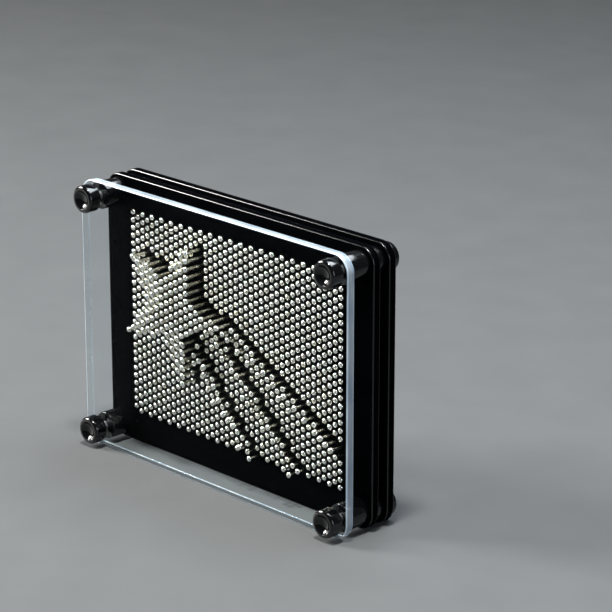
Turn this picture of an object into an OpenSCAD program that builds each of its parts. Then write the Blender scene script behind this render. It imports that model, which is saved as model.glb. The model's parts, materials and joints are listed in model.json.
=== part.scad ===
// Pin art impression toy: a clear cover and two perforated plates held apart on four screwed posts,
// with a hexagonal field of headed pins that slide through both plates.
// Millimetres. X runs across, Y from the cover (front) to the pin tails (back), Z up.
// The toy stands on the long lower edges of its sheets, which lie at Z = 0.

/* [Sheets] */
// Width of the cover and of both plates
sheet_w = 127; // [124:1:140]
// Height of the cover and of both plates
sheet_h = 95; // [93:1:110]
// Thickness of each of the three sheets
sheet_t = 3; // [2:0.5:4]
// Radius of the sheets' corners
corner_r = 6; // [4:0.5:8]

/* [Spacing] */
// Gap between the cover and the pin plate, where the pushed pins stand out
front_gap = 8.5; // [8.5:0.5:14]
// Gap between the pin plate and the guide plate
rear_gap = 4; // [3:0.5:8]

/* [Posts] */
// Distance of each post's axis from the two nearest sheet edges
post_inset = 6; // [5.5:0.25:6.5]
// Radius of the knobs, front spacers and feet
post_r = 4.75; // [4.25:0.25:5]
// Radius of the spacers between the two plates
middle_r = 4.5; // [4:0.25:5]
// Length of a front knob
knob_l = 5; // [5:0.5:7]
// Length of a rear foot
foot_l = 3; // [3:0.5:6]
// Radius of a tie screw's shank
screw_r = 1.5; // [1.2:0.1:1.6]

/* [Pins] */
// Distance between neighbouring pins
pitch = 2.8; // [2.6:0.05:2.8]
// Number of pin columns
pin_cols = 42; // [40:1:42]
// Number of pins in each column
pin_rows = 26; // [25:1:26]
// Radius of a pin's shaft
shaft_r = 0.45; // [0.4:0.05:0.5]
// Radius of a pin's head
head_r = 0.95; // [0.85:0.05:1.05]
// Thickness of a pin's head
head_t = 1; // [0.8:0.1:1]
// Length of tail standing out behind the guide plate when a pin is pushed back
tail_out = 7.5; // [7.5:0.5:14]

/* [Impression] */
// How far the star's pins are pushed out
star_push = 7; // [1:0.2:7]
// Star's centre, to the left of the field's centre
star_left = 24.5; // [20:0.5:26]
// Star's centre, above the field's centre
star_up = 8.5; // [6:0.5:10]
// Star's radius to its points
star_r = 27; // [22:0.5:28]
// Star's radius to its inner corners
star_inner_r = 10.5; // [8:0.5:12]
// Turn of the star's first point above level
star_turn = 68; // [60:1:72]
// Half the width of each trail
trail_half_w = 2; // [1.8:0.1:3.2]

/* [Hidden] */
$fn = 32;
head_clear = 0.15;      // between a head and the sheet it stops against
hole_clear = 0.15;      // between a shaft and its hole, on the radius
screw_clear = 0.1;      // between a tie screw and its hole, on the radius
star_points = 5;
bevel = 0.4;            // on heads and tails of pins

// Depths, from the front of the knobs, then moved so that the whole depth is centred on Y = 0
cover_y = knob_l;
pin_plate_y = cover_y + sheet_t + front_gap;
guide_plate_y = pin_plate_y + sheet_t + rear_gap;
foot_y = guide_plate_y + sheet_t;
tail_y = foot_y + tail_out;
mid_y = tail_y / 2;
mid_z = sheet_h / 2;

head_y = pin_plate_y - head_clear - head_t;
pin_l = tail_y - head_y;
travel = front_gap - head_t - 2 * head_clear;

// Tie screws: head sunk in the foot, end in the knob's blind bore
screw_head_r = 2.6;
screw_head_t = 1.6;
screw_recess = 0.3;
screw_end = 2.2;        // reach into the knob
knob_bore = 2.4;
drive_w = 0.8;          // cross recess in the screw head
drive_l = 3;
drive_t = 0.8;

// Each trail: name, height where its middle line crosses the field's centre line, slope, and
// how far its two interleaved sets of pins are pushed out
trails = [
    ["upper", 5.5, -30, [4.2, 2.4]],
    ["middle", -4.2, -44.5, [4.4, 2.6]],
    ["lower", -24.2, -48.8, [3.8, 2.2]]
];
trail_sets = ["a", "b"];

// Pins that lie flat are grouped in a grid of blocks
block_rows = ["a", "b", "c"];
block_cols = ["1", "2", "3", "4"];

corners = [
    ["top_left", -1, 1],
    ["top_right", 1, 1],
    ["bottom_left", -1, -1],
    ["bottom_right", 1, -1]
];

function block_name(r, c) = str("pins_block_", block_rows[r], block_cols[c]);
function trail_name(t, s) = str("pins_trail_", trails[t][0], "_", trail_sets[s]);

// Place of the pin in column i and row j, from the field's centre
function pin_x(i) = (i - (pin_cols - 1) / 2) * pitch * sqrt(3) / 2;
function pin_z(i, j) = ((pin_rows - 1) / 2 - j) * pitch + (i % 2 == 0 ? 1 : -1) * pitch / 4;

// Inside one point of the star: the angle is folded into half a point, then compared with its edge
function folded(angle, step) = abs(angle - step * round(angle / step));
function inside_edge(x, z, half) =
    (x - star_r) * star_inner_r * sin(half) < z * (star_inner_r * cos(half) - star_r);
function in_star(x, z) =
    let (dx = x + star_left, dz = z - star_up, r = norm([dx, dz]), step = 360 / star_points,
        a = folded(atan2(dz, dx) - star_turn, step))
    inside_edge(r * cos(a), r * sin(a), step / 2);

// Inside a trail: near its middle line and to the lower right of the star's centre
function trail_offset(x, z, t) = (z - trails[t][1]) * cos(trails[t][2]) - x * sin(trails[t][2]);
function in_trail(x, z, t) = x > -star_left && z < star_up && abs(trail_offset(x, z, t)) < trail_half_w;
function trail_of(x, z) = [for (t = [0:len(trails) - 1]) if (in_trail(x, z, t)) t];

// Name of the group that a pin belongs to
function pin_group(i, j) =
    let (x = pin_x(i), z = pin_z(i, j), t = trail_of(x, z))
    in_star(x, z) ? "pins_star"
    : len(t) > 0 ? trail_name(t[0], sin(97 * i + 151 * j) > 0 ? 0 : 1)
    : block_name(floor(j * len(block_rows) / pin_rows), floor(i * len(block_cols) / pin_cols));

// Outline of a sheet, with its four post holes
module outline() {
    difference() {
        union() {
            square([sheet_w - 2 * corner_r, sheet_h], center = true);
            square([sheet_w, sheet_h - 2 * corner_r], center = true);
            at_corners(corner_r) circle(corner_r);
        }
        at_corners(post_inset) circle(screw_r + screw_clear);
    }
}

module at_corners(inset) {
    for (c = corners)
        translate([c[1] * (sheet_w / 2 - inset), c[2] * (sheet_h / 2 - inset)]) children();
}

// Stands a flat outline up as a sheet whose front face is at depth y
module sheet(y) {
    translate([0, y + sheet_t - mid_y, mid_z]) rotate([90, 0, 0]) linear_extrude(sheet_t) children();
}

module perforated() {
    difference() {
        outline();
        for (i = [0:pin_cols - 1], j = [0:pin_rows - 1])
            translate([pin_x(i), pin_z(i, j)]) circle(shaft_r + hole_clear);
    }
}

module front_cover() {
    color("lightcyan") sheet(cover_y) outline();
}

module pin_plate() {
    color("#17181b") sheet(pin_plate_y) perforated();
}

module guide_plate() {
    color("#17181b") sheet(guide_plate_y) perforated();
}

// Turns a half section round a post's axis, with its start at depth y and its length running back
module turned(corner, y) {
    translate([corner[1] * (sheet_w / 2 - post_inset), y - mid_y,
        mid_z + corner[2] * (sheet_h / 2 - post_inset)])
        rotate([-90, 0, 0]) rotate_extrude() children();
}

// Points of an arc round a centre in the half section
function arc(cr, cz, r, from, to, steps) =
    [for (k = [0:steps]) let (a = from + (to - from) * k / steps) [cr + r * cos(a), cz + r * sin(a)]];

// Knob: rounded rim, flat ring, deep dish, neck against the cover and a blind bore
module front_knob(corner) {
    rim = 1;
    dish_r = post_r - 1.6;
    dish_floor_r = dish_r - 1;
    dish_t = 1.6;
    neck_l = 0.6;
    neck_r = post_r - 0.45;
    bore_r = screw_r + screw_clear;
    color("#101114") turned(corner, 0) polygon(concat(
        [[0, dish_t], [dish_floor_r, dish_t], [dish_r, 0]],
        arc(post_r - rim, rim, rim, -90, 0, 6),
        [[post_r, knob_l - neck_l], [neck_r, knob_l - neck_l], [neck_r, knob_l]],
        [[bore_r, knob_l], [bore_r, knob_l - knob_bore], [0, knob_l - knob_bore]]
    ));
}

module spacer(corner, y, length, r) {
    chamfer = 0.3;
    color("#101114") turned(corner, y) polygon([
        [screw_r + screw_clear, 0], [r - chamfer, 0], [r, chamfer],
        [r, length - chamfer], [r - chamfer, length], [screw_r + screw_clear, length]
    ]);
}

// Foot: a cap behind the guide plate, counterbored for the screw head
module rear_foot(corner) {
    edge = 0.6;
    seat = foot_l - screw_recess - screw_head_t;
    sink_r = screw_head_r + screw_clear;
    color("#101114") turned(corner, foot_y) polygon([
        [screw_r + screw_clear, 0], [post_r, 0], [post_r, foot_l - edge], [post_r - edge, foot_l],
        [sink_r, foot_l], [sink_r, seat], [screw_r + screw_clear, seat]
    ]);
}

module tie_screw(corner) {
    tip = 0.4;
    head_end = foot_y + foot_l - screw_recess;
    end = cover_y - screw_end;
    length = head_end - end;
    color("silver") difference() {
        turned(corner, end) polygon([
            [0, 0], [screw_r - tip, 0], [screw_r, tip], [screw_r, length - screw_head_t],
            [screw_head_r, length - screw_head_t], [screw_head_r, length - tip],
            [screw_head_r - tip, length], [0, length]
        ]);
        translate([corner[1] * (sheet_w / 2 - post_inset), head_end - mid_y,
            mid_z + corner[2] * (sheet_h / 2 - post_inset)])
            for (turn = [0, 90])
                rotate([0, turn, 0]) cube([drive_l, 2 * drive_t, drive_w], center = true);
    }
}

// One pin, its head's front face at the origin and its tail running back
module pin() {
    rotate([-90, 0, 0]) rotate_extrude() polygon([
        [0, 0], [head_r - bevel, 0], [head_r, bevel], [head_r, head_t], [shaft_r, head_t],
        [shaft_r, pin_l - bevel], [shaft_r - bevel / 2, pin_l], [0, pin_l]
    ]);
}

// All the pins of one group, pushed out to the front by the same amount
module pins(group, push) {
    color("gainsboro")
        for (i = [0:pin_cols - 1], j = [0:pin_rows - 1])
            if (pin_group(i, j) == group)
                translate([pin_x(i), head_y - mid_y - push, mid_z + pin_z(i, j)]) pin();
}

front_cover();
pin_plate();
guide_plate();
for (c = corners) {
    front_knob(c);
    spacer(c, cover_y + sheet_t, front_gap, post_r);
    spacer(c, pin_plate_y + sheet_t, rear_gap, middle_r);
    rear_foot(c);
    tie_screw(c);
}
for (r = [0:len(block_rows) - 1], c = [0:len(block_cols) - 1])
    pins(block_name(r, c), 0);
pins("pins_star", star_push);  // pins_star
for (t = [0:len(trails) - 1], s = [0:1])
    pins(trail_name(t, s), trails[t][3][s]);
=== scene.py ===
"""Looks of the pin art impression toy: clear cover, perforated plates, screwed posts and steel pins."""

import json
import math
import random

import bmesh
import bpy
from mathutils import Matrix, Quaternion, Vector
from mathutils.geometry import delaunay_2d_cdt
from mathutils.kdtree import KDTree


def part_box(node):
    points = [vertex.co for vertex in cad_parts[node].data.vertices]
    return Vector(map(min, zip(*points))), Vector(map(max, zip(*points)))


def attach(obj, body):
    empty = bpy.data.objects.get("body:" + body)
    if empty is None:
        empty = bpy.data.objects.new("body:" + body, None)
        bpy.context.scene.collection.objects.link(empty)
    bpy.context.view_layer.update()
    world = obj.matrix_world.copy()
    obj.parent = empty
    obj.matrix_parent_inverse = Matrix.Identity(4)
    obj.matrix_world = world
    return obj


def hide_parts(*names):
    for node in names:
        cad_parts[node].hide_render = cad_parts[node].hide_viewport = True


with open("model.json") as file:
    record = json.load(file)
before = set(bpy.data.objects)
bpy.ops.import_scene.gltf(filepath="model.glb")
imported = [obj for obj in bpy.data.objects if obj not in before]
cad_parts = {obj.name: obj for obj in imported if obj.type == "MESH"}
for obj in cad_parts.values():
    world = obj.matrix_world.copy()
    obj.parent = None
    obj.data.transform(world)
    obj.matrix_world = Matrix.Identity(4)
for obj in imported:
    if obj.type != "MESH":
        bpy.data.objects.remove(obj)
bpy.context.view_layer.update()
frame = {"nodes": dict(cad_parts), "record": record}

MM = 0.001

# Sizes that the design shares with the frame, in metres
PITCH = 2.8 * MM
COLUMNS, ROWS = 42, 26
HOLE_R = 0.6 * MM
SHAFT_R = 0.45 * MM
HEAD_R = 0.95 * MM
HEAD_T = 1.0 * MM
POST_INSET = 6 * MM
CORNER_R = 6 * MM
SCREW_HOLE_R = 1.6 * MM

# A pin's facets round its axis, and the bands of facets that make up its head
PIN_SIDES = 16
HEAD_BANDS = 8

CORNERS = {
    "top_left": (-1, 1),
    "top_right": (1, 1),
    "bottom_left": (-1, -1),
    "bottom_right": (1, -1),
}
PIN_NODES = sorted(n for n in frame["nodes"] if n.startswith("pins_"))

cover_lo, cover_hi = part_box("front_cover")
SHEET_W = cover_hi.x - cover_lo.x
SHEET_H = cover_hi.z - cover_lo.z
MID_Z = (cover_lo.z + cover_hi.z) / 2


# ---------------------------------------------------------------- node helpers


def new_material(name):
    """A material and its node tree, with only an output."""
    mat = bpy.data.materials.new(name)
    mat.use_nodes = True
    tree = mat.node_tree
    tree.nodes.clear()
    tree.nodes.new("ShaderNodeOutputMaterial")
    return mat, tree


def output_of(tree):
    return next(n for n in tree.nodes if n.type == "OUTPUT_MATERIAL")


def add(tree, kind, links=None, **values):
    """A node with its sockets set by name, with _ for a space, and its links as {socket: source}."""
    node = tree.nodes.new("ShaderNode" + kind)
    for name, value in values.items():
        label = name.replace("_", " ")
        if label in node.inputs:
            node.inputs[label].default_value = value
        else:
            setattr(node, name, value)
    for name, source in (links or {}).items():
        tree.links.new(source, node.inputs[name])
    return node


def noise(tree, scale, detail=3.0, stretch=(1, 1, 1)):
    """Noise over the object's own coordinates, in metres times scale."""
    place = add(tree, "TexCoord")
    mapping = add(tree, "Mapping", {"Vector": place.outputs["Object"]}, Scale=stretch)
    return add(tree, "TexNoise", {"Vector": mapping.outputs["Vector"]}, Scale=scale, Detail=detail)


def ramp(tree, source, stops):
    """A colour ramp over source: stops are (position, grey or colour)."""
    node = add(tree, "ValToRGB", {"Fac": source})
    points = node.color_ramp.elements
    while len(points) < len(stops):
        points.new(0.5)
    for point, (position, value) in zip(points, stops):
        point.position = position
        colour = (value,) * 3 if isinstance(value, (int, float)) else value
        point.color = (*colour, 1)
    return node.outputs["Color"]


def bump(tree, height, strength, distance):
    return add(tree, "Bump", {"Height": height}, Strength=strength, Distance=distance).outputs["Normal"]


def finish_with(tree, shader):
    tree.links.new(shader, output_of(tree).inputs["Surface"])


# ---------------------------------------------------------------- materials


def make_black_plate():
    """Deep black sheet: a very faint cloudy sheen and fine rubbed scratches."""
    mat, tree = new_material("black_plate")
    cloud = noise(tree, 90, 4)
    rubs = noise(tree, 900, 2, stretch=(0.12, 1, 1))
    sheen = ramp(tree, cloud.outputs["Fac"], [(0.3, 0.18), (0.7, 0.28)])
    black, worn_black = (0.0003, 0.0004, 0.0006), (0.0008, 0.001, 0.0014)
    tint = ramp(tree, cloud.outputs["Fac"], [(0.3, black), (0.75, worn_black)])
    shader = add(
        tree,
        "BsdfPrincipled",
        {
            "Base Color": tint,
            "Roughness": sheen,
            "Normal": bump(tree, rubs.outputs["Fac"], 0.05, 0.05 * MM),
        },
        Specular_IOR_Level=0.004,
    )
    finish_with(tree, shader.outputs["BSDF"])
    return mat


def make_black_gloss(name, smooth, rough):
    """Glossy moulded plastic, polished a little unevenly."""
    mat, tree = new_material(name)
    cloud = noise(tree, 260, 3)
    flow = noise(tree, 1400, 2)
    sheen = ramp(tree, cloud.outputs["Fac"], [(0.35, smooth), (0.7, rough)])
    black, worn_black = (0.0008, 0.0009, 0.0012), (0.002, 0.0022, 0.0028)
    tint = ramp(tree, cloud.outputs["Fac"], [(0.3, black), (0.8, worn_black)])
    shader = add(
        tree,
        "BsdfPrincipled",
        {
            "Base Color": tint,
            "Roughness": sheen,
            "Normal": bump(tree, flow.outputs["Fac"], 0.04, 0.03 * MM),
        },
        Specular_IOR_Level=0.4,
        Coat_Weight=0.25,
        Coat_Roughness=0.08,
    )
    finish_with(tree, shader.outputs["BSDF"])
    return mat


def make_pin_steel(name, tints, smooth, rough):
    """Nickel-plated steel: some pins duller and yellower than their neighbours."""
    mat, tree = new_material(name)
    patch = noise(tree, 420, 2)
    wear = noise(tree, 1100, 2)
    polish = ramp(tree, wear.outputs["Fac"], [(0.3, smooth), (0.7, rough)])
    shader = add(
        tree,
        "BsdfPrincipled",
        {
            "Base Color": ramp(tree, patch.outputs["Fac"], list(zip((0.3, 0.5, 0.72), tints))),
            "Roughness": polish,
            "Normal": bump(tree, wear.outputs["Fac"], 0.004, 0.02 * MM),
        },
        Metallic=1.0,
    )
    finish_with(tree, shader.outputs["BSDF"])
    return mat


def make_screw_steel():
    """Zinc-plated steel, slightly mottled and turned."""
    mat, tree = new_material("screw_steel")
    mottle = noise(tree, 700, 4)
    turned = noise(tree, 3000, 2, stretch=(1, 0.1, 1))
    tint = ramp(tree, mottle.outputs["Fac"], [(0.3, (0.5, 0.51, 0.53)), (0.7, (0.68, 0.68, 0.68))])
    sheen = ramp(tree, mottle.outputs["Fac"], [(0.3, 0.3), (0.7, 0.45)])
    shader = add(
        tree,
        "BsdfPrincipled",
        {
            "Base Color": tint,
            "Roughness": sheen,
            "Normal": bump(tree, turned.outputs["Fac"], 0.15, 0.03 * MM),
        },
        Metallic=1.0,
    )
    finish_with(tree, shader.outputs["BSDF"])
    return mat


def make_clear_face():
    """Polished acrylic seen through its faces: a faintly cool pane, glossy only at a slant."""
    mat, tree = new_material("clear_face")
    haze = noise(tree, 60, 3)
    gloss = add(
        tree,
        "BsdfAnisotropic",
        {"Roughness": ramp(tree, haze.outputs["Fac"], [(0.3, 0.03), (0.7, 0.07)])},
        Color=(1, 1, 1, 1),
    )
    clear = add(tree, "BsdfTransparent", Color=(0.965, 0.985, 0.99, 1))
    slant = add(tree, "LayerWeight", Blend=0.1)
    amount = add(tree, "MapRange", {"Value": slant.outputs["Facing"]}, To_Min=0.0, To_Max=0.015)
    mix = add(tree, "MixShader", {"Fac": amount.outputs["Result"]})
    tree.links.new(clear.outputs["BSDF"], mix.inputs[1])
    tree.links.new(gloss.outputs["BSDF"], mix.inputs[2])
    finish_with(tree, mix.outputs["Shader"])
    return mat


def make_clear_edge_painted_glow(name, seen_outside, seen_through):
    """Polished acrylic edge, given an opaque pale blue-white colour as a painted highlight for the light
    the clear edge catches and refracts: strong where seen from outside, and faint where seen through the
    sheet.
    """
    mat, tree = new_material(name)
    cut_marks_and_glow = noise(tree, 500, 3, stretch=(0.2, 1, 0.2))
    # Painted highlight: this pale blue-white ramp stands in for light caught in the clear edge, not a
    # colour of the acrylic; the stretched cut noise varies it and the roughness
    tint = ramp(tree, cut_marks_and_glow.outputs["Fac"], [(0.3, (0.46, 0.6, 0.76)), (0.7, (0.8, 0.92, 1.0))])
    sheen = ramp(tree, cut_marks_and_glow.outputs["Fac"], [(0.3, 0.1), (0.7, 0.26)])
    solid = add(
        tree,
        "BsdfPrincipled",
        {"Base Color": tint, "Roughness": sheen},
        Specular_IOR_Level=0.6,
        Coat_Weight=0.5,
        Coat_Roughness=0.05,
    )
    clear = add(tree, "BsdfTransparent", Color=(0.93, 0.97, 0.985, 1))
    side = add(tree, "NewGeometry")
    through = {"Value": side.outputs["Backfacing"]}
    amount = add(tree, "MapRange", through, To_Min=seen_outside, To_Max=seen_through)
    mix = add(tree, "MixShader", {"Fac": amount.outputs["Result"]})
    tree.links.new(clear.outputs["BSDF"], mix.inputs[1])
    tree.links.new(solid.outputs["BSDF"], mix.inputs[2])
    finish_with(tree, mix.outputs["Shader"])
    return mat


def make_floor():
    """Plain pale tabletop with a barely visible tooth."""
    mat, tree = new_material("floor")
    tooth = noise(tree, 40, 4)
    tint = ramp(tree, tooth.outputs["Fac"], [(0.2, (0.078, 0.082, 0.086)), (0.8, (0.088, 0.092, 0.096))])
    shader = add(tree, "BsdfPrincipled", {"Base Color": tint}, Roughness=0.6, Specular_IOR_Level=0.2)
    finish_with(tree, shader.outputs["BSDF"])
    return mat


# ---------------------------------------------------------------- mesh helpers


def make_object(name, verts, faces, materials, slots=None, sharp=35):
    """An object from vertices and faces, smooth except at edges sharper than that many degrees."""
    mesh = bpy.data.meshes.new(name)
    mesh.from_pydata([tuple(v) for v in verts], [], faces)
    for mat in materials:
        mesh.materials.append(mat)
    if slots:
        mesh.polygons.foreach_set("material_index", slots)
    fixed = bmesh.new()
    fixed.from_mesh(mesh)
    bmesh.ops.recalc_face_normals(fixed, faces=fixed.faces)
    fixed.to_mesh(mesh)
    fixed.free()
    mesh.shade_smooth()
    mesh.set_sharp_from_angle(angle=math.radians(sharp))
    mesh.update()
    obj = bpy.data.objects.new(name, mesh)
    bpy.context.scene.collection.objects.link(obj)
    return obj


def arc(centre_r, centre_y, radius, start, stop, steps):
    """Points of an arc in a half section, as (radius, y); angles in degrees."""
    turns = [math.radians(start + (stop - start) * k / steps) for k in range(steps + 1)]
    return [(centre_r + radius * math.cos(a), centre_y + radius * math.sin(a)) for a in turns]


def revolve(profile, segments):
    """Vertices and faces of a half section of (radius, y) turned about the Y axis."""
    verts, rings, faces = [], [], []
    for r, y in profile:
        if r < 1e-7:
            rings.append([len(verts)])
            verts.append(Vector((0, y, 0)))
            continue
        rings.append(list(range(len(verts), len(verts) + segments)))
        for k in range(segments):
            a = 2 * math.pi * k / segments
            verts.append(Vector((r * math.cos(a), y, r * math.sin(a))))
    for a, b in zip(rings, rings[1:]):
        for k in range(segments):
            n = (k + 1) % segments
            corners = [a[k % len(a)], a[n % len(a)], b[n % len(b)], b[k % len(b)]]
            face = list(dict.fromkeys(corners))
            if len(face) > 2:
                faces.append(face)
    return verts, faces


def turned_piece(name, profile, corner, material, segments=72):
    """A turned piece on a post's axis: profile is (radius, y) with y in the row frame."""
    sx, sz = CORNERS[corner]
    axis = Vector((sx * (SHEET_W / 2 - POST_INSET), 0, MID_Z + sz * (SHEET_H / 2 - POST_INSET)))
    verts, faces = revolve(profile, segments)
    return make_object(name, [v + axis for v in verts], faces, [material])


def rounded_outline(inset, steps=12):
    """Points of the sheets' rounded outline, moved in by inset, as (x, z)."""
    points = []
    for start, (sx, sz) in zip((0, 90, 180, 270), ((1, 1), (-1, 1), (-1, -1), (1, -1))):
        cx, cz = sx * (SHEET_W / 2 - CORNER_R), sz * (SHEET_H / 2 - CORNER_R)
        for k in range(steps + 1):
            a = math.radians(start + 90 * k / steps)
            points.append((cx + (CORNER_R - inset) * math.cos(a), cz + (CORNER_R - inset) * math.sin(a)))
    return points


def circle(cx, cz, r, steps):
    return [
        (cx + r * math.cos(2 * math.pi * k / steps), cz + r * math.sin(2 * math.pi * k / steps))
        for k in range(steps)
    ]


def lattice():
    """Every pin's place from the field's centre; every other column stands half a pitch lower."""
    places = []
    for i in range(COLUMNS):
        for j in range(ROWS):
            x = (i - (COLUMNS - 1) / 2) * PITCH * math.sqrt(3) / 2
            z = ((ROWS - 1) / 2 - j) * PITCH + (PITCH / 4 if i % 2 == 0 else -PITCH / 4)
            places.append((x, z))
    return places


def sheet_piece(name, node, holes, face_mat, edge_mat, bend_mat):
    """A rounded sheet with holes and rounded long edges, in place of a CAD sheet."""
    lo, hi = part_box(node)
    edge = 0.35 * MM
    inside = 0.985  # of a hole's radius: triangles whose middle lies nearer than this are the hole
    turns = [math.radians(a) for a in (0, 30, 60, 90)]
    bend = [(edge * (1 - math.sin(a)), edge * (1 - math.cos(a))) for a in turns]
    steps = [(inset, lo.y + drop) for inset, drop in bend]
    steps += [(inset, hi.y - drop) for inset, drop in reversed(bend)]
    rims = [rounded_outline(inset) for inset, _ in steps]
    count = len(rims[0])

    loops = [rims[0]] + holes
    flat = [Vector(p) for loop in loops for p in loop]
    edges, first = [], 0
    for loop in loops:
        edges += [(first + k, first + (k + 1) % len(loop)) for k in range(len(loop))]
        first += len(loop)
    points, _, tris, *_ = delaunay_2d_cdt(flat, edges, [], 0, 1e-9)
    centres = KDTree(len(holes))
    reach = []
    for k, hole in enumerate(holes):
        mid = sum((Vector(p) for p in hole), Vector((0, 0))) / len(hole)
        centres.insert((*mid, 0), k)
        reach.append((Vector(hole[0]) - mid).length)
    centres.balance()

    def in_hole(tri):
        mid = (points[tri[0]] + points[tri[1]] + points[tri[2]]) / 3
        _, k, gap = centres.find((*mid, 0))
        return gap < reach[k] * inside

    solid = [t for t in tris if not in_hole(t)]
    verts = [(p.x, lo.y, p.y + MID_Z) for p in points] + [(p.x, hi.y, p.y + MID_Z) for p in points]
    back = len(points)
    faces = [list(t) for t in solid] + [[v + back for v in reversed(t)] for t in solid]
    slots = [0] * len(faces)
    first = count
    for hole in holes:
        for k in range(len(hole)):
            a, b = first + k, first + (k + 1) % len(hole)
            faces.append([a, b, b + back, a + back])
            slots.append(0)
        first += len(hole)
    rings = [list(range(count))]
    for (_, y), rim in list(zip(steps, rims))[1:-1]:
        rings.append(list(range(len(verts), len(verts) + count)))
        verts += [(x, y, z + MID_Z) for x, z in rim]
    rings.append([back + k for k in range(count)])
    flat_band = len(bend) - 1
    for band, (a, b) in enumerate(zip(rings, rings[1:])):
        for k in range(count):
            n = (k + 1) % count
            faces.append([a[k], a[n], b[n], b[k]])
            slots.append(1 if band == flat_band else 2)
    return make_object(name, verts, faces, [face_mat, edge_mat, bend_mat], slots, sharp=50)


# ---------------------------------------------------------------- pieces


def stand_for(piece, node):
    """Puts a detailed piece in the place of one CAD node, on that node's own body."""
    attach(piece, BODY_OF[node])
    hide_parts(node)


def make_sheets():
    posts = [
        circle(sx * (SHEET_W / 2 - POST_INSET), sz * (SHEET_H / 2 - POST_INSET), SCREW_HOLE_R, 24)
        for sx, sz in CORNERS.values()
    ]
    pin_holes = [circle(x, z, HOLE_R, 16) for x, z in lattice()]
    cover = sheet_piece("clear_cover", "front_cover", posts, CLEAR_FACE, CLEAR_EDGE_PAINTED_GLOW, CLEAR_BEND_PAINTED_HIGHLIGHT)
    stand_for(cover, "front_cover")
    for node in ("pin_plate", "guide_plate"):
        plate = sheet_piece(node + "_sheet", node, posts + pin_holes, BLACK_PLATE, BLACK_PLATE, BLACK_BEND)
        stand_for(plate, node)


def knob_profile(lo, hi, r):
    """Knob from its front face back to the cover: dish, flat ring, rounded rim, groove and neck."""
    rim = 0.95 * MM
    dish_r = r - 1.5 * MM
    dish_t = 1.55 * MM
    neck_l, neck_r = 0.6 * MM, r - 0.45 * MM
    lip = 0.16 * MM
    bore_l = 2.4 * MM
    sweep = [k / 8 for k in range(9)]
    dish = [(dish_r * t, lo + dish_t * (1 - t**3)) for t in sweep]
    return (
        dish
        + arc(dish_r + lip, lo + lip, lip, 200, 270, 3)
        + arc(r - rim, lo + rim, rim, 270, 360, 10)
        + [(r, hi - neck_l - lip)]
        + arc(r - lip, hi - neck_l - lip, lip, 0, 90, 3)
        + [(neck_r, hi - neck_l), (neck_r, hi - 0.1 * MM), (neck_r - 0.1 * MM, hi)]
        + [(SCREW_HOLE_R, hi), (SCREW_HOLE_R, hi - bore_l), (0, hi - bore_l)]
    )


def spacer_profile(lo, hi, r):
    edge = 0.3 * MM
    return (
        [(SCREW_HOLE_R, lo), (r - edge, lo)]
        + arc(r - edge, lo + edge, edge, 270, 360, 4)
        + arc(r - edge, hi - edge, edge, 0, 90, 4)
        + [(SCREW_HOLE_R, hi), (SCREW_HOLE_R, lo)]
    )


def foot_profile(lo, hi, r):
    """Foot from the guide plate back: rounded rim and a counterbore for the screw's head."""
    edge = 0.7 * MM
    sink_r = 2.7 * MM
    seat = hi - 1.9 * MM
    lip = 0.2 * MM
    return (
        [(SCREW_HOLE_R, lo), (r - lip, lo)]
        + arc(r - lip, lo + lip, lip, 270, 360, 3)
        + arc(r - edge, hi - edge, edge, 0, 90, 8)
        + arc(sink_r + lip, hi - lip, lip, 90, 180, 3)
        + [(sink_r, seat), (SCREW_HOLE_R, seat), (SCREW_HOLE_R, lo)]
    )


def make_posts():
    kinds = {
        "front_knob": (knob_profile, BLACK_KNOB, "black_knob"),
        "front_spacer": (spacer_profile, BLACK_SPACER, "black_spacer"),
        "middle_spacer": (spacer_profile, BLACK_SPACER, "black_spacer"),
        "rear_foot": (foot_profile, BLACK_KNOB, "black_knob"),
    }
    for corner in CORNERS:
        for kind, (profile, material, slot) in kinds.items():
            node = f"{corner}_{kind}"
            lo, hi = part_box(node)
            points = profile(lo.y, hi.y, (hi.x - lo.x) / 2)
            piece = turned_piece(node + "_turned", points, corner, material)
            stand_for(piece, node)
        screw = frame["nodes"][f"{corner}_tie_screw"]
        screw.data.materials.clear()
        screw.data.materials.append(SCREW_STEEL)


def pin_profile(length):
    """Half section of a pin from its domed head back to its tail, head at y = 0."""
    dome_t = 0.62 * MM
    lip = 0.12 * MM
    taper_l, tip_l, tip_r = 0.45 * MM, 0.1 * MM, SHAFT_R * 0.55
    dome = [
        (HEAD_R * math.sin(math.radians(a)), dome_t * (1 - math.cos(math.radians(a))))
        for a in (0, 22, 44, 64, 80, 90)
    ]
    return dome + [
        (HEAD_R, HEAD_T - lip),
        (HEAD_R - lip, HEAD_T),
        (SHAFT_R, HEAD_T),
        (SHAFT_R, length - taper_l),
        (tip_r, length - tip_l),
        (0, length),
    ]


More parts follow.
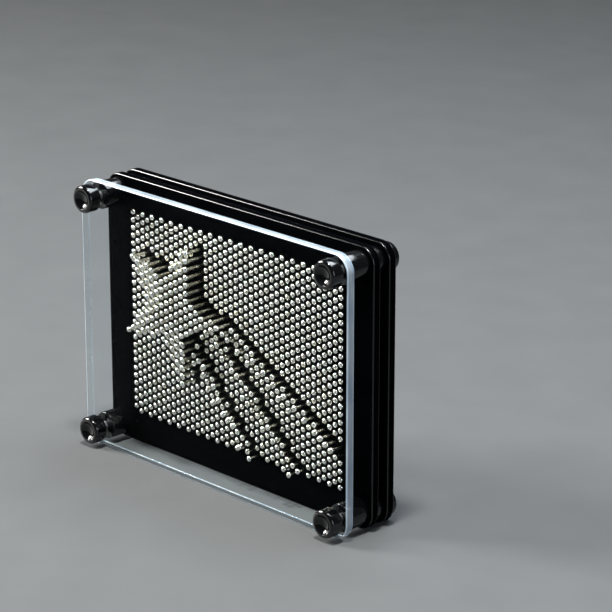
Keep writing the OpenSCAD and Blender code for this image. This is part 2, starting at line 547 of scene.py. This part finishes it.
def make_pins():
    """One piece for each group of pins, each pin leaning a little in the play of its holes."""
    places = lattice()
    tree = KDTree(len(places))
    for k, (x, z) in enumerate(places):
        tree.insert((x, 0, z + MID_Z), k)
    tree.balance()
    chance = random.Random(7)
    lean_most = math.radians(0.5)
    plates_mid = (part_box("pin_plate")[0].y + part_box("guide_plate")[1].y) / 2
    for node in PIN_NODES:
        lo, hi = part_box(node)
        members = sorted({tree.find((v.co.x, 0, v.co.z))[1] for v in frame["nodes"][node].data.vertices})
        pin_verts, pin_faces = revolve(pin_profile(hi.y - lo.y), PIN_SIDES)
        pin_slots = [0 if k < HEAD_BANDS * PIN_SIDES else 1 for k in range(len(pin_faces))]
        pivot = Vector((0, plates_mid - lo.y, 0))
        verts, faces = [], []
        for k in members:
            x, z = places[k]
            side = chance.uniform(0, 2 * math.pi)
            lean = Quaternion((math.cos(side), 0, math.sin(side)), chance.uniform(0, lean_most))
            turn = Quaternion((0, 1, 0), chance.uniform(0, 2 * math.pi))
            move = Vector((x, lo.y, z + MID_Z))
            start = len(verts)
            verts += [lean @ (turn @ v - pivot) + pivot + move for v in pin_verts]
            faces += [[start + i for i in f] for f in pin_faces]
        slots = pin_slots * len(members)
        piece = make_object(node + "_domed", verts, faces, [PIN_HEAD, PIN_SHAFT], slots, sharp=50)
        stand_for(piece, node)


# ---------------------------------------------------------------- stage


def make_stage():
    bpy.ops.mesh.primitive_plane_add(size=8, location=(0, 0, 0))
    floor = bpy.context.object
    floor.name = "floor"
    floor.data.materials.append(make_floor())
    world = bpy.data.worlds.new("studio")
    world.use_nodes = True
    backdrop = world.node_tree.nodes["Background"]
    backdrop.inputs["Color"].default_value = (0.86, 0.92, 1.0, 1)
    backdrop.inputs["Strength"].default_value = 0.08
    bpy.context.scene.world = world


def softbox(name, centre, place, size, power, colour):
    """A rectangular area light at place, measured from the object's centre and facing it."""
    data = bpy.data.lights.new(name, "AREA")
    data.shape = "RECTANGLE"
    data.size, data.size_y = size
    data.energy = power
    data.color = colour
    lamp = bpy.data.objects.new(name, data)
    lamp.location = centre + Vector(place)
    lamp.rotation_mode = "QUATERNION"
    lamp.rotation_quaternion = Vector(place).to_track_quat("Z", "Y")
    bpy.context.scene.collection.objects.link(lamp)


def make_lights(centre):
    """A key from the upper left for the heads, and boxes above for the shafts and the sheets' edges."""
    softbox("key_box", centre, (-0.86, -0.46, 0.46), (0.38, 0.42), 30, (1, 0.98, 0.94))
    softbox("shaft_box", centre, (0.1, -0.12, 0.9), (0.12, 0.1), 16, (1, 0.98, 0.92))
    softbox("edge_box", centre, (0.05, 0.35, 0.7), (0.6, 0.3), 7, (0.85, 0.93, 1))
    softbox("side_box", centre, (0.85, -0.1, 0.25), (0.2, 0.4), 2, (0.85, 0.88, 1))
    bpy.context.scene.view_settings.view_transform = "Standard"


def make_camera(centre):
    """A long lens from the front right and a little above, with the object low and left in the frame."""
    azimuth, elevation = math.radians(47.2), math.radians(19.4)
    distance = 0.902
    aim_right, aim_up = 0.0231, 0.0129
    back = Vector(
        (
            math.sin(azimuth) * math.cos(elevation),
            -math.cos(azimuth) * math.cos(elevation),
            math.sin(elevation),
        )
    )
    right = Vector((math.cos(azimuth), math.sin(azimuth), 0))
    up = back.cross(right)
    data = bpy.data.cameras.new("camera")
    data.lens = 160.7
    data.sensor_width = 36
    data.clip_start, data.clip_end = 0.05, 20
    camera = bpy.data.objects.new("camera", data)
    camera.location = centre + back * distance
    camera.rotation_mode = "QUATERNION"
    look = centre + right * aim_right + up * aim_up - camera.location
    camera.rotation_quaternion = look.to_track_quat("-Z", "Y")
    bpy.context.scene.collection.objects.link(camera)
    bpy.context.scene.camera = camera


BODY_OF = {n: b for b, nodes in frame["record"]["behaviour"]["bodies"].items() for n in nodes}
BLACK_PLATE = make_black_plate()
BLACK_BEND = make_black_gloss("black_bend", 0.16, 0.26)
BLACK_KNOB = make_black_gloss("black_knob", 0.07, 0.14)
BLACK_SPACER = make_black_gloss("black_spacer", 0.14, 0.24)
HEAD_TINTS = [(1.0, 0.985, 0.94), (0.95, 0.93, 0.86), (0.84, 0.79, 0.65)]
SHAFT_TINTS = [(1.0, 0.97, 0.88), (0.96, 0.92, 0.8), (0.86, 0.8, 0.64)]
PIN_HEAD = make_pin_steel("pin_head", HEAD_TINTS, 0.21, 0.25)
PIN_SHAFT = make_pin_steel("pin_shaft", SHAFT_TINTS, 0.2, 0.27)
SCREW_STEEL = make_screw_steel()
CLEAR_FACE = make_clear_face()
# Painted highlight: the cover's flat edges and, paler still, its rounded bends get an opaque pale
# blue-white colour standing in for the light they catch
CLEAR_EDGE_PAINTED_GLOW = make_clear_edge_painted_glow("clear_edge", 0.4, 0.05)
CLEAR_BEND_PAINTED_HIGHLIGHT = make_clear_edge_painted_glow("clear_bend", 0.85, 0.3)

object_centre = Vector((0, 0, MID_Z))
make_camera(object_centre)
make_sheets()
make_posts()
make_pins()
make_stage()
make_lights(object_centre)
